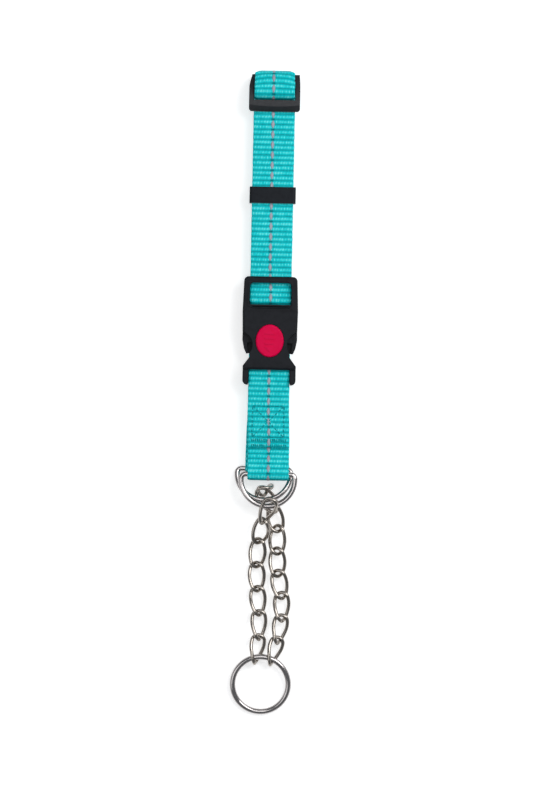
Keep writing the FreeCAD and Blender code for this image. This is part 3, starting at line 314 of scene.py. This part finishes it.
def webbing_material():
    """Nylon weave: ribs of close yarns that step over and under at each rib, painted lighter on
    their crowns as highlight and darker in the grooves as shade.
    """
    n = Nodes("webbing_weave")
    weave = n.add("Attribute", attribute_name="weave")
    parts = n.add("SeparateXYZ", {"Vector": weave.outputs["Vector"]})
    across = parts.outputs["X"]
    along = parts.outputs["Y"]
    flat = n.add("CombineXYZ", {"X": across, "Y": along, "Z": 0.0}).outputs[0]
    warp = n.noise(flat, 0.35, 2.0)
    skew = n.math("MULTIPLY", warp, 0.3)
    bent = n.math("ADD", along, n.math("MULTIPLY", n.math("SUBTRACT", warp, 0.5), 0.35))
    rib = n.math("DIVIDE", bent, RIB_PITCH)
    rib_number = n.math("FLOOR", rib)
    inside = n.math("SUBTRACT", rib, rib_number)
    centred = n.math("MULTIPLY_ADD", inside, 2.0, -1.0)
    dome = n.math("SUBTRACT", 1.0, n.math("MULTIPLY", centred, centred))
    odd = n.math("MODULO", rib_number, 2.0)
    column = n.math("ADD", n.math("DIVIDE", across, YARN_PITCH),
                    n.math("MULTIPLY", odd, 0.5))
    column = n.math("ADD", column, n.math("MULTIPLY_ADD", inside, 0.55, skew))
    column_number = n.math("FLOOR", column)
    yarn = n.math("ABSOLUTE", n.math("SINE", n.math("MULTIPLY", column, math.pi)))
    yarn = n.math("POWER", yarn, 0.7)
    cell = n.add("CombineXYZ", {"X": column_number, "Y": rib_number, "Z": 0.0})
    speckle = n.add("TexWhiteNoise", {"Vector": cell.outputs[0]}).outputs["Value"]
    top = n.math("MULTIPLY", n.math("MULTIPLY_ADD", yarn, 0.78, 0.22),
                 n.math("POWER", n.math("MAXIMUM", dome, 0.0), 0.8))
    height = n.math("ADD", top, n.math("MULTIPLY", n.math("SUBTRACT", speckle, 0.5), 0.14))
    broad = n.noise(flat, 0.12, 4.0)
    tone_and_painted_rib_light = n.math("ADD", height, n.math("MULTIPLY", n.math("SUBTRACT", broad, 0.5), 0.35))
    # Painted light: the ramp paints the yarn crowns on each rib lighter, up to near-white
    # highlights, and the grooves between ribs darker as painted shade; the broad noise adds
    # uneven tone.
    colour = n.ramp(tone_and_painted_rib_light, [(0.0, rgb(0, 140, 149)), (0.30, rgb(0, 190, 198)),
                            (0.66, rgb(0, 214, 221)), (0.84, rgb(14, 234, 239)),
                            (1.0, rgb(126, 252, 252))])
    aside = n.math("SUBTRACT", across, parts.outputs["Z"])
    middle = n.math("LESS_THAN", n.math("ABSOLUTE", aside), LINE_HALF)
    dip = n.math("PINGPONG", along, RIB_PITCH)
    # Painted shade: along the reflective line, the webbing in the gaps between the floats, where
    # the thread dives under, is darkened towards dark teal.
    gap_shade = n.math("MULTIPLY", middle,
                  n.between(n.math("MULTIPLY_ADD", dip, -1.2, 1.1), 0.0, 1.0))
    colour = n.mix(n.math("MULTIPLY", gap_shade, 0.62), colour, rgb(2, 52, 60) + (1.0,))
    fibre = n.noise(n.add("CombineXYZ", {"X": n.math("MULTIPLY", across, 9.0),
                                         "Y": n.math("MULTIPLY", along, 1.6),
                                         "Z": 0.0}).outputs[0], 1.0, 2.0)
    relief = n.math("ADD", height, n.math("MULTIPLY", fibre, 0.25))
    return n.shade(Base_Color=colour, Roughness=n.between(fibre, 0.42, 0.72),
                   Normal=n.bump(relief, 0.00022, 0.9), Sheen_Weight=0.03,
                   Sheen_Roughness=0.4, Specular_IOR_Level=0.12)


def reflector_material():
    """Grey reflective yarn, with painted shade that darkens each float towards its edge, where it
    sinks into the webbing.
    """
    n = Nodes("reflective_thread")
    weave = n.add("Attribute", attribute_name="weave")
    parts = n.add("SeparateXYZ", {"Vector": weave.outputs["Vector"]})
    v = n.math("ABSOLUTE", parts.outputs["X"])
    u = n.math("ABSOLUTE", parts.outputs["Y"])
    rim = n.math("MAXIMUM", n.math("POWER", v, 2.5), n.math("POWER", u, 5.0))
    twist = n.add("TexWave", {"Vector": weave.outputs["Vector"], "Scale": 0.9,
                              "Distortion": 1.5, "Detail": 1.0},
                  wave_type="BANDS", bands_direction="DIAGONAL").outputs["Fac"]
    grain = n.noise(n.place(), 2600.0, 2.0)
    # Painted shade: each float darkens towards its edge, down to dark teal, where it sinks into
    # the webbing.
    colour = n.ramp(rim, [(0.0, rgb(160, 166, 180)), (0.35, rgb(132, 142, 156)),
                          (0.70, rgb(62, 84, 96)), (1.0, rgb(6, 40, 48))])
    colour = n.mix(n.between(grain, 0.0, 0.30), colour, rgb(198, 202, 212) + (1.0,))
    relief = n.math("ADD", twist, grain)
    return n.shade(Base_Color=colour, Roughness=n.between(grain, 0.35, 0.6),
                   Normal=n.bump(relief, 0.0001, 0.6), Metallic=0.15)


def thread_material():
    """Bonded sewing thread, darker than the webbing, with a tight twist."""
    n = Nodes("sewing_thread")
    grain = n.noise(n.place(), 1800.0, 3.0)
    twist = n.add("TexWave", {"Vector": n.place(), "Scale": 900.0, "Distortion": 2.0},
                  wave_type="BANDS", bands_direction="DIAGONAL").outputs["Fac"]
    colour = n.ramp(n.math("MULTIPLY", n.math("ADD", grain, twist), 0.5),
                    [(0.2, rgb(0, 128, 138)), (0.8, rgb(0, 176, 184))])
    return n.shade(Base_Color=colour, Roughness=n.between(grain, 0.45, 0.7),
                   Normal=n.bump(twist, 0.00008, 0.7), Sheen_Weight=0.03, Specular_IOR_Level=0.15)


def plastic_material(name, dark, light, grain_scale, rough, specular, worn_and_lit_edge_colour=None):
    """Moulded plastic: fine spark-eroded grain, faint cloudiness, and edges painted paler as
    highlight and rubbed wear.
    """
    n = Nodes(name)
    place = n.place()
    grain = n.noise(place, grain_scale, 4.0, 0.6)
    cloud = n.noise(place, 90.0, 3.0)
    # Painted highlight and wear: sharp convex edges, found by pointiness, are painted paler in
    # noisy patches.
    edge_sharpness = n.add("NewGeometry").outputs["Pointiness"]
    edge_highlight_and_wear = n.math("MULTIPLY", n.between(edge_sharpness, -9.0, 11.0), n.noise(place, 420.0, 2.0))
    edge_highlight_and_wear = n.add("Clamp", {"Value": edge_highlight_and_wear}).outputs[0]
    colour = n.mix(n.between(cloud, 0.0, 1.0), dark + (1.0,), light + (1.0,))
    worn_and_lit_edge_colour = worn_and_lit_edge_colour or tuple(min(1.0, value * 2.2 + 0.01) for value in light)
    colour = n.mix(n.math("MULTIPLY", edge_highlight_and_wear, 0.35), colour, worn_and_lit_edge_colour + (1.0,))
    return n.shade(Base_Color=colour, Roughness=n.between(grain, rough - 0.09, rough + 0.12),
                   Normal=n.bump(grain, 0.00006, 0.55), Specular_IOR_Level=specular)


def steel_material(name, tone, rough):
    """Nickel plate: faint draw lines, cloudy polish and small scuffs."""
    n = Nodes(name)
    place = n.place()
    cloud = n.noise(place, 160.0, 4.0)
    scuffs = n.noise(place, 1400.0, 5.0, 0.65)
    colour = n.mix(n.between(cloud, 0.0, 1.0), tuple(value * 0.86 for value in tone) + (1.0,),
                   tone + (1.0,))
    roughness = n.math("ADD", n.between(cloud, rough - 0.04, rough + 0.06),
                       n.math("MULTIPLY", n.math("POWER", scuffs, 4.0), 0.5))
    return n.shade(Base_Color=colour, Metallic=1.0, Roughness=roughness,
                   Normal=n.bump(scuffs, 0.00002, 0.35))


# ---------------------------------------------------------------- stitching


STITCH_PITCH = 2.1
THREAD_RADIUS = 0.24


def stitch_runs(name, runs, height, body, nodes, up=1.0):
    """Rows of lock stitches: each is a rounded thread that dives into the webbing."""
    vertices = []
    faces = []
    sides = 8
    rows = 9
    for (x0, y0), (x1, y1) in runs:
        length = math.hypot(x1 - x0, y1 - y0)
        count = max(1, int(round(length / STITCH_PITCH)))
        way = ((x1 - x0) / length, (y1 - y0) / length)
        side = (-way[1], way[0])
        span = length / count
        for number in range(count):
            base = len(vertices)
            for i in range(rows):
                u = -1 + 2 * i / (rows - 1)
                place = (number + 0.5 + u * 0.43) * span
                lift = (0.16 - 0.5 * u ** 4) * up
                thin = THREAD_RADIUS * math.sqrt(max(0.0, 1 - u ** 6) * 0.85 + 0.15)
                for k in range(sides):
                    angle = 2 * math.pi * k / sides
                    out = math.cos(angle) * thin
                    rise = math.sin(angle) * thin * 0.75 * up
                    vertices.append(((x0 + way[0] * place + side[0] * out) * MM,
                                     (y0 + way[1] * place + side[1] * out) * MM,
                                     (height + lift + rise) * MM))
            for i in range(rows - 1):
                for k in range(sides):
                    a = base + i * sides + k
                    b = base + i * sides + (k + 1) % sides
                    faces.append((a, b, b + sides, a + sides) if up > 0
                                 else (b, a, a + sides, b + sides))
            first = list(range(base, base + sides))
            last = list(range(base + (rows - 1) * sides, base + rows * sides))
            faces.append(tuple(reversed(first)) if up > 0 else tuple(first))
            faces.append(tuple(last) if up > 0 else tuple(reversed(last)))
    piece = new_mesh(name, vertices, faces)
    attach(piece, body)
    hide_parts(*nodes)
    return piece


# ---------------------------------------------------------------- the collar


def eased(value):
    """Goes smoothly from 0 to 1 as the value does."""
    value = min(1.0, max(0.0, value))
    return value * value * (3 - 2 * value)


def tab_shift(y):
    """The tab leans to the right where it nears its D-ring."""
    return 0.55 * eased((-4 - y) / 20)


def strap_mark_shift(y):
    """The reflective line runs a little left of the middle of the front strap."""
    return strap_shift(y) - 0.55 * eased((y - 50) / 15)


def strap_shift(y):
    """The back strap leans to the left where it nears its D-ring."""
    return -0.6 * eased(-y / 30)


def strap_trim(y, z):
    """Inside the slider the strap is squeezed narrower, and over the fold its ribs bow."""
    above = eased(z - 3)
    narrow = 0.32 * eased((y - 141) / 3) * above + 1.5 * eased((y - 157.4) / 2) ** 2
    return narrow, 1.0 * eased((y - 147) / 8) * eased(z - 11)


def tab_trim(y, z):
    """The tab keeps its full width and straight ribs."""
    return 0.0, 0.0


def end_rows(low, high):
    """The rectangle of stitching that closes an end of the strap."""
    rows = [((-END_HALF, y), (END_HALF, y)) for y in (low, high)]
    return rows + [((x, low), (x, high)) for x in (-END_HALF, END_HALF)]


strap = webbing("strap_webbing", STRAP_ROUTE, "collar", ["adjustable_strap"], strap_shift, 3,
                strap_trim, strap_mark_shift)
tab = webbing("tab_webbing", TAB_ROUTE, "collar", ["tab_strap"], tab_shift, 5, tab_trim,
              tab_shift)
strap_mark = reflector("strap_reflector", STRAP_ROUTE, "collar", strap_mark_shift)
tab_mark = reflector("tab_reflector", TAB_ROUTE, "collar", tab_shift)

# Heights of the webbing's faces that carry stitching, then the stitched areas, in mm.
TAB_TOP = 10.35
EYE_TOP = 3.25
SLIDER_UNDERSIDE = 4.30
BOX_LOW = -20.4
BOX_HIGH = -5.2
BOX_HALF = 7.7
END_HALF = 8.5
EYE_END = (-24.1, -14.1)
SLIDER_END = (132.6, 140.6)
# Upright stitches: their spacing, then each row's middle along y and half length.
TACK_PITCH = 0.92
TACK_ROWS = ((-24.5, 0.8), (-21.9, 1.0))
corners = [(-BOX_HALF, BOX_LOW), (BOX_HALF, BOX_LOW), (BOX_HALF, BOX_HIGH),
           (-BOX_HALF, BOX_HIGH)]
box_runs = list(zip(corners, corners[1:] + corners[:1]))
box_runs += [(corners[0], corners[2]), (corners[1], corners[3])]
box_stitch = stitch_runs("box_stitching", box_runs, TAB_TOP, "collar", ["tab_stitching"])
tack_runs = [((TACK_PITCH * k + tab_shift(y), y - half),
              (TACK_PITCH * k + tab_shift(y), y + half))
             for y, half in TACK_ROWS for k in range(-9, 10) if k != 0]
row_stitch = stitch_runs("row_stitching", tack_runs, TAB_TOP, "collar",
                         ["tab_row_stitching"])
ring_stitch = stitch_runs("ring_end_stitching", end_rows(*EYE_END), EYE_TOP, "collar",
                          ["ring_stitching"])
slider_stitch = stitch_runs("slider_end_stitching", end_rows(*SLIDER_END),
                            SLIDER_UNDERSIDE, "collar", ["slider_stitching"], up=-1.0)

# ---------------------------------------------------------------- moulded parts


SLIDER_RAIL = 11.5
MERGE_WITHIN = 2e-6
ROUNDED_OVER = math.radians(34)


def slider_bow(x, y):
    """The slider's sides draw in towards its upper end and round off at its lower corners."""
    if abs(x) < SLIDER_RAIL:
        return x
    side = -1 if x < 0 else 1
    upper = (1.5 if side < 0 else 0.4) * eased((y - 150) / 9) ** 1.3
    lower = 0.9 * eased((140.6 - y) / 1.7) ** 2
    return x - side * (upper + lower)


def softened(name, body, width):
    """A moulded part with its edges rounded over, as they come from the mould."""
    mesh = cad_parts[name].data.copy()
    mesh.name = name + "_moulded"
    if name == "tri_glide":
        for vertex in mesh.vertices:
            vertex.co.x = slider_bow(vertex.co.x / MM, vertex.co.y / MM) * MM
    work = bmesh.new()
    work.from_mesh(mesh)
    bmesh.ops.remove_doubles(work, verts=work.verts, dist=MERGE_WITHIN)
    bmesh.ops.dissolve_limit(work, angle_limit=math.radians(1.0), verts=work.verts,
                             edges=work.edges)
    work.to_mesh(mesh)
    work.free()
    mesh.polygons.foreach_set("use_smooth", [True] * len(mesh.polygons))
    piece = bpy.data.objects.new(name + "_moulded", mesh)
    bpy.context.scene.collection.objects.link(piece)
    rounding = piece.modifiers.new("rounding", "BEVEL")
    rounding.width = width * MM
    rounding.segments = 2
    rounding.limit_method = "ANGLE"
    rounding.angle_limit = ROUNDED_OVER
    flats = piece.modifiers.new("flats", "WEIGHTED_NORMAL")
    flats.weight = 100
    flats.keep_sharp = True
    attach(piece, body)
    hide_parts(name)
    return piece


def face_outwards(piece):
    """Turn every face of a closed piece to face outwards."""
    work = bmesh.new()
    work.from_mesh(piece.data)
    bmesh.ops.recalc_face_normals(work, faces=work.faces)
    work.to_mesh(piece.data)
    work.free()


def prism(name, outline, low, high, body, slot):
    """A flat moulded web or lip, or a dark plate that stands in for shade under a gap."""
    count = len(outline)
    vertices = [(x * MM, y * MM, z * MM) for z in (low, high) for x, y in outline]
    faces = [tuple(range(count)), tuple(range(count, 2 * count))]
    for k in range(count):
        after = (k + 1) % count
        faces.append((k, after, after + count, k + count))
    piece = new_mesh(name, vertices, faces, smooth=False)
    face_outwards(piece)
    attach(piece, body)
    return piece


def rounded_box(half, low, high, radius, steps=6):
    """Points round a rectangle with rounded corners, and each point's way outwards."""
    points = []
    for sx, sy, start in ((1, 1, 0), (-1, 1, 1), (-1, -1, 2), (1, -1, 3)):
        cx = sx * (half - radius)
        cy = high - radius if sy > 0 else low + radius
        for k in range(steps + 1):
            angle = math.pi / 2 * (start + k / steps)
            way = (math.cos(angle), math.sin(angle))
            points.append((cx + radius * way[0], cy + radius * way[1], way))
    return points


def band(faces, start, end, deep):
    """Join two rings of points, which begin at start and end, with a band of faces."""
    for k in range(deep):
        after = (k + 1) % deep
        faces.append((start + k, start + after, end + after, end + k))


def window_rim(name, half, low, high, radius, profile, body, slot):
    """A moulded rim round a window: a profile carried round a rounded rectangle."""
    around = rounded_box(half, low, high, radius)
    vertices = []
    faces = []
    for x, y, way in around:
        for out, z in profile:
            vertices.append(((x + way[0] * out) * MM, (y + way[1] * out) * MM, z * MM))
    deep = len(profile)
    for row in range(len(around)):
        band(faces, row * deep, (row + 1) % len(around) * deep, deep)
    piece = new_mesh(name, vertices, faces)
    face_outwards(piece)
    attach(piece, body)
    return piece


def slider_lip(name, side):
    """The slider's inner wall, which slopes in under the webbing."""
    vertices = []
    faces = []
    for k in range(LIP_STEPS + 1):
        y = LIP_START + (LIP_END - LIP_START) * k / LIP_STEPS
        for x, radius in LIP_SECTION:
            drop = math.sqrt(radius ** 2 - (y - ARCH_MIDDLE[0]) ** 2)
            vertices.append((side * x * MM, y * MM, (ARCH_MIDDLE[1] + drop) * MM))
    deep = len(LIP_SECTION)
    for k in range(LIP_STEPS):
        band(faces, k * deep, (k + 1) * deep, deep)
    faces.append(tuple(range(deep)))
    faces.append(tuple(range(LIP_STEPS * deep, (LIP_STEPS + 1) * deep)))
    piece = new_mesh(name, vertices, faces)
    face_outwards(piece)
    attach(piece, "collar")
    return piece


# Each moulded part, the body it rides, the width of its rounded edges in mm, and its slot.
MOULDED = (
    ("buckle_prong_frame", "collar", 0.30, "buckle_plastic"),
    ("buckle_socket", "collar", 0.22, "buckle_plastic"),
    ("prong_left", "prong_left", 0.25, "buckle_plastic"),
    ("prong_right", "prong_right", 0.25, "buckle_plastic"),
    ("tri_glide", "collar", 0.40, "slider_plastic"),
    ("strap_keeper", "strap_keeper", 0.25, "slider_plastic"),
)
moulded = {}
for name, body, width, slot in MOULDED:
    moulded[name] = softened(name, body, width)

# The rim of the buckle's window: how far each point of its section lies outwards, and its z,
# then half its width, its ends along y and its corners' radius.
RIM_PROFILE = [(0.78, 12.45), (0.76, 12.74), (0.62, 12.86), (0.36, 12.90), (0.14, 12.82),
               (0.0, 12.58), (-0.04, 11.9), (0.0, 11.05), (0.30, 11.0)]
RIM_HALF = 10.24
RIM_SPAN = (43.3, 55.15)
RIM_CORNER = 1.9
rim = window_rim("prong_frame_rim", RIM_HALF, *RIM_SPAN, RIM_CORNER, RIM_PROFILE, "collar",
                 "buckle_plastic")

# Outlines in x and y, with the heights that each set of pieces spans. The web and the lip are
# the right side's, and the left side's are their mirror images. The last set are dark plates low
# under the gaps beside and below the window and beside the legs: painted shade where only
# shade would show.
WEB = [(8.4, 25.9), (11.3, 25.9), (10.75, 20.45), (8.4, 20.9)]
WEB_HEIGHTS = (6.1, 7.7)
LIP = [(10.185, 13.5), (10.6, 13.5), (10.6, 5.6), (10.185, 6.4)]
LIP_HEIGHTS = (6.5, 11.3)
SHADE_PLATE_HEIGHTS = (3.75, 4.6)
SHADE_PLATES = {
    "frame_left_ledge": [(-10.6, 43.0), (-9.5, 43.0), (-9.5, 55.6), (-10.6, 55.6)],
    "frame_right_ledge": [(9.5, 43.0), (10.6, 43.0), (10.6, 55.6), (9.5, 55.6)],
    "frame_base_ledge": [(-9.6, 43.0), (9.6, 43.0), (9.6, 45.4), (-9.6, 45.4)],
    "leg_left_ledge": [(-10.6, 5.7), (-9.5, 6.2), (-9.5, 13.5), (-10.6, 13.5)],
    "leg_right_ledge": [(9.5, 6.2), (10.6, 5.7), (10.6, 13.5), (9.5, 13.5)],
}
webs_lips_and_shade_plates = []
for side, name in ((-1, "prong_left"), (1, "prong_right")):
    webs_lips_and_shade_plates.append(prism(name + "_web", [(side * x, y) for x, y in WEB], *WEB_HEIGHTS, name,
                      "buckle_plastic"))
for side, name in ((-1, "leg_left_lip"), (1, "leg_right_lip")):
    webs_lips_and_shade_plates.append(prism(name, [(side * x, y) for x, y in LIP], *LIP_HEIGHTS, "collar",
                      "buckle_plastic"))
# Painted shade: dark plastic plates under the gaps, standing in for the shade there.
for name, outline in SHADE_PLATES.items():
    webs_lips_and_shade_plates.append(prism(name, outline, *SHADE_PLATE_HEIGHTS, "collar", "buckle_plastic"))

# The slider is an arch about a line along X: that line's y and z, then where the inner wall
# starts and ends along y, and its section as x and radius about the line.
ARCH_MIDDLE = (140.6, -17.93)
LIP_START = 144.2
LIP_END = 156.6
LIP_STEPS = 14
LIP_SECTION = [(10.45, 30.7), (10.28, 30.4), (10.02, 29.4), (9.95, 28.4), (10.45, 28.2)]
slider_lips = [slider_lip("slider_left_lip", -1), slider_lip("slider_right_lip", 1)]

# ---------------------------------------------------------------- finishes on the pieces

buckle_plastic = plastic_material("buckle_plastic_grain", rgb(13, 15, 19), rgb(22, 24, 29),
                                  5200.0, 0.36, 0.10)
slider_plastic = plastic_material("slider_plastic_grain", rgb(28, 30, 33), rgb(42, 43, 46),
                                  6000.0, 0.33, 0.20)
keeper_plastic = plastic_material("keeper_plastic_grain", rgb(8, 12, 17), rgb(18, 22, 28),
                                  6000.0, 0.36, 0.10)
button_plastic = plastic_material("button_plastic_grain", rgb(212, 0, 60), rgb(222, 0, 70),
                                  4200.0, 0.30, 0.05, rgb(238, 24, 92))
chain_steel = steel_material("chain_nickel", (0.40, 0.365, 0.33), 0.15)
ring_steel = steel_material("ring_nickel", (0.50, 0.47, 0.465), 0.12)
spring_steel = steel_material("spring_wire", (0.55, 0.55, 0.56), 0.25)


def finish(pieces, material):
    """Give the pieces this material and no other."""
    for piece in pieces:
        piece.data.materials.clear()
        piece.data.materials.append(material)


finish((strap, tab), webbing_material())
finish((strap_mark, tab_mark), reflector_material())
finish((box_stitch, row_stitch, ring_stitch, slider_stitch), thread_material())
finish(moulded.values(), buckle_plastic)
finish((moulded["tri_glide"],), slider_plastic)
finish((moulded["strap_keeper"],), keeper_plastic)
finish([rim] + webs_lips_and_shade_plates, buckle_plastic)
finish(slider_lips, slider_plastic)
cad_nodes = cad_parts
finish((cad_nodes["lock_button"],), button_plastic)
finish((cad_nodes["button_spring"],), spring_steel)
rings = [cad_nodes[name] for name in ("d_ring_front", "d_ring_back", "leash_ring")]
finish(rings, ring_steel)
finish([node for name, node in cad_nodes.items() if name.startswith("link_")], chain_steel)

# ---------------------------------------------------------------- floor, light and camera


FLOOR_HALF = 1.6
FLOOR_GLOW = 0.55
SKY_COLOUR = (0.9, 0.95, 1.0, 1.0)
SKY_STRENGTH = 0.20
AIM = (0.0, 0.0, 0.0)
# Each lamp's name, place and size in metres, and power in watts.
LAMPS = (
    ("key", (0.55, 0.35, 0.75), (0.5, 0.7), 5.0),
    ("overhead", (0.0, 0.0, 1.75), (0.5, 0.5), 2.2),
    ("fill", (-0.6, -0.2, 0.8), (0.6, 0.8), 1.7),
    ("top", (0.1, 0.5, 1.0), (0.8, 0.25), 1.6),
)
# The picture's height and scale, at the height above the floor that it is in scale for.
PICTURE_ROWS = 800
MM_PER_ROW = 0.4914
CAMERA_PLACE = (-0.74 * MM, -2.23 * MM, 1.4)
CAMERA_LEAN = math.radians(1.165)
SCALE_HEIGHT = 0.006


def make_floor():
    """A white floor that keeps shadows; metal and glass see it glow a little too."""
    mesh = bpy.data.meshes.new("floor")
    half = FLOOR_HALF
    mesh.from_pydata([(-half, -half, 0), (half, -half, 0), (half, half, 0), (-half, half, 0)],
                     [], [(0, 1, 2, 3)])
    floor = bpy.data.objects.new("floor", mesh)
    bpy.context.scene.collection.objects.link(floor)
    n = Nodes("floor_white")
    tree = n.tree
    n.shade(Base_Color=(0.82, 0.82, 0.82, 1.0), Roughness=0.9, Specular_IOR_Level=0.1)
    path = n.add("LightPath")
    seen = n.math("ADD", path.outputs["Is Camera Ray"], path.outputs["Is Glossy Ray"])
    seen = n.math("MINIMUM", n.math("ADD", seen, path.outputs["Is Transmission Ray"]), 1.0)
    glow = n.add("Emission", {"Color": (1.0, 1.0, 1.0, 1.0),
                              "Strength": n.math("MULTIPLY", seen, FLOOR_GLOW)})
    both = n.add("AddShader")
    tree.links.new(n.shader.outputs[0], both.inputs[0])
    tree.links.new(glow.outputs[0], both.inputs[1])
    tree.links.new(both.outputs[0], tree.nodes["Material Output"].inputs["Surface"])
    mesh.materials.append(n.material)


def area_light(name, place, size, power):
    """A rectangular lamp that points at the middle of the collar."""
    data = bpy.data.lights.new(name, "AREA")
    data.shape = "RECTANGLE"
    data.size = size[0]
    data.size_y = size[1]
    data.energy = power
    lamp = bpy.data.objects.new(name, data)
    lamp.location = place
    aim = Vector(AIM) - Vector(place)
    lamp.rotation_euler = aim.to_track_quat("-Z", "Y").to_euler()
    bpy.context.scene.collection.objects.link(lamp)


def make_camera():
    """Looks straight down; the collar leans by a degree or so in the picture."""
    data = bpy.data.cameras.new("camera")
    data.sensor_fit = "VERTICAL"
    data.sensor_height = 36.0
    seen = PICTURE_ROWS * MM_PER_ROW * MM
    data.lens = data.sensor_height * (CAMERA_PLACE[2] - SCALE_HEIGHT) / seen
    camera = bpy.data.objects.new("camera", data)
    camera.location = CAMERA_PLACE
    camera.rotation_euler = (0.0, 0.0, CAMERA_LEAN)
    bpy.context.scene.collection.objects.link(camera)
    bpy.context.scene.camera = camera


make_floor()
for lamp in LAMPS:
    area_light(*lamp)
world = bpy.data.worlds.new("soft_sky")
bpy.context.scene.world = world
world.use_nodes = True
sky = world.node_tree.nodes["Background"].inputs
sky["Color"].default_value = SKY_COLOUR
sky["Strength"].default_value = SKY_STRENGTH
make_camera()
bpy.context.scene.view_settings.view_transform = "Standard"
